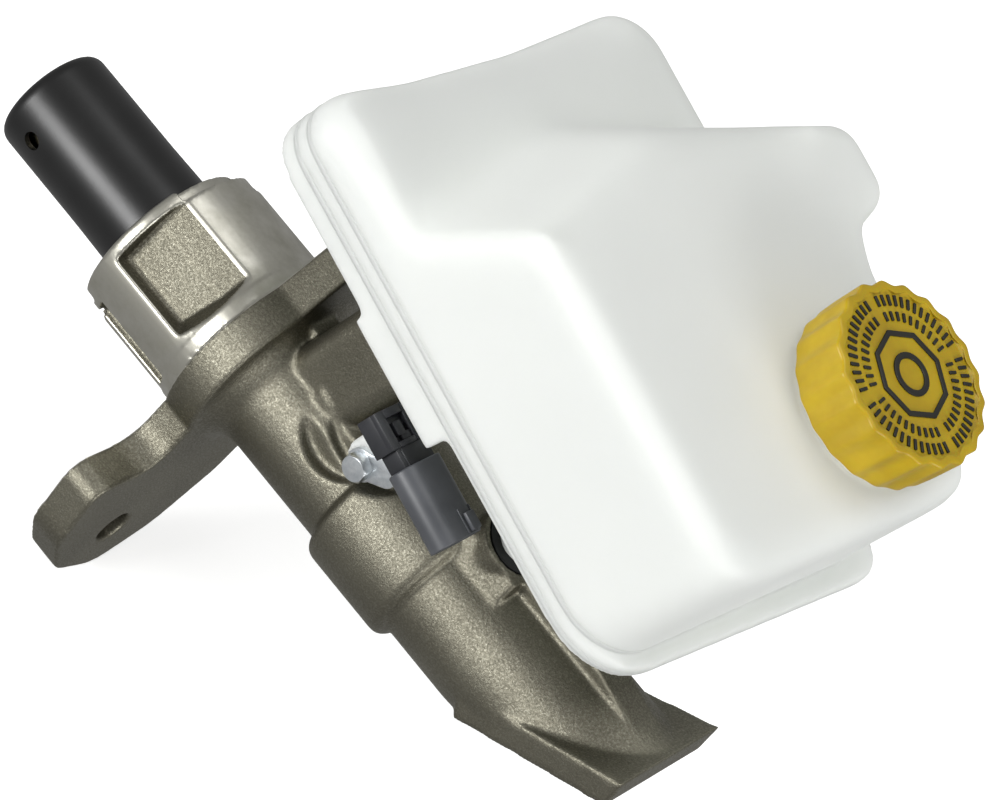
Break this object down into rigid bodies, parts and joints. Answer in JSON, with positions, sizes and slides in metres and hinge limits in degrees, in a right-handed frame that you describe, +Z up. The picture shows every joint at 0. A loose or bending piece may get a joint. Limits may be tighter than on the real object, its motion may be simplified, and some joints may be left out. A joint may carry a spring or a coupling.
{
  "type": "brake master cylinder",
  "caption": "Tandem hydraulic brake master cylinder: cast body, sprung pistons, translucent reservoir with screw cap, fluid level sensor and booster flange.",
  "frame": {"origin": "where the bore axis crosses the booster face of the flange", "axes": "+X forward along the bore, away from the booster; +Z up; +Y towards the outlet side"},
  "size_m": [0.22, 0.1458, 0.177],
  "materials": {
    "cast_body": "rough cast aluminium, machined where it seals",
    "steel": "ground or turned steel",
    "zinc_plate": "bright zinc-plated steel",
    "black_rubber": "matt black rubber",
    "anodised": "turned aluminium",
    "guard_plastic": "matt black plastic",
    "reservoir_plastic": "milky translucent plastic",
    "cap_yellow": "yellow moulded plastic",
    "cap_black": "black raised marking",
    "sensor_black": "black moulded plastic",
    "float_foam": "closed-cell foam",
    "magnet": "dark ferrite magnet",
    "tin": "tinned terminal metal",
    "basket_plastic": "white moulded plastic",
    "reed_glass": "glass reed switch"
  },
  "bodies": {
    "cylinder": {"cylinder_body": "cast_body", "snout_o_ring": "black_rubber", "guide_bush": "anodised", "guide_o_ring": "black_rubber", "guide_circlip": "steel", "primary_rear_seal": "black_rubber", "tube_seats": "steel", "reservoir_upper_shell": "reservoir_plastic", "reservoir_lower_shell": "reservoir_plastic", "rear_port_grommet": "black_rubber", "front_port_grommet": "black_rubber", "filter_basket": "basket_plastic", "sensor_housing": "sensor_black", "sensor_terminals": "tin", "reed_switch": "reed_glass", "clamp_plate": "zinc_plate", "retaining_bolt": "zinc_plate"},
    "primary": {"primary_piston": "anodised", "primary_cup": "black_rubber", "primary_spring_seat": "steel", "primary_spring": "steel"},
    "secondary": {"secondary_piston": "anodised", "separating_cup": "black_rubber", "secondary_cup": "black_rubber", "secondary_spring_seat": "steel", "secondary_spring": "steel"},
    "guard": {"guard_tube": "guard_plastic"},
    "cap_seal": {"cap_diaphragm": "black_rubber"},
    "cap": {"filler_cap": "cap_yellow", "cap_marking": "cap_black"},
    "float": {"level_float": "float_foam", "float_magnet": "magnet"}
  },
  "joints": [
    {"name": "primary_stroke", "type": "slide", "parent": "cylinder", "child": "primary", "axis": [1, 0, 0], "range_m": [0, 0.03], "stiffness_N_per_m": 900, "springref_m": -0.02, "deforming": ["primary_spring"]},
    {"name": "secondary_stroke", "type": "slide", "parent": "cylinder", "child": "secondary", "axis": [1, 0, 0], "range_m": [0, 0.015], "stiffness_N_per_m": 900, "springref_m": -0.02, "deforming": ["secondary_spring", "primary_spring"]},
    {"name": "guard_pull", "type": "slide", "parent": "cylinder", "child": "guard", "axis": [-1, 0, 0], "range_m": [0, 0.05]},
    {"name": "cap_lift", "type": "slide", "parent": "cylinder", "child": "cap_seal", "axis": [0.2504, 0, 0.9681], "range_m": [0, 0.006]},
    {"name": "cap_turn", "type": "hinge", "parent": "cap_seal", "child": "cap", "pos_m": [0.10992, 0.0468, 0.09552], "axis": [0.2504, 0, 0.9681], "range_deg": [0, 360]},
    {"name": "float_rise", "type": "slide", "parent": "cylinder", "child": "float", "axis": [0.2504, 0, 0.9681], "range_m": [0, 0.022]}
  ],
  "couplings": [
    {"joint": "secondary_stroke", "follows": "primary_stroke", "ratio": 0.5},
    {"joint": "cap_lift", "follows": "cap_turn", "m_per_rad": 0.00095492}
  ]
}
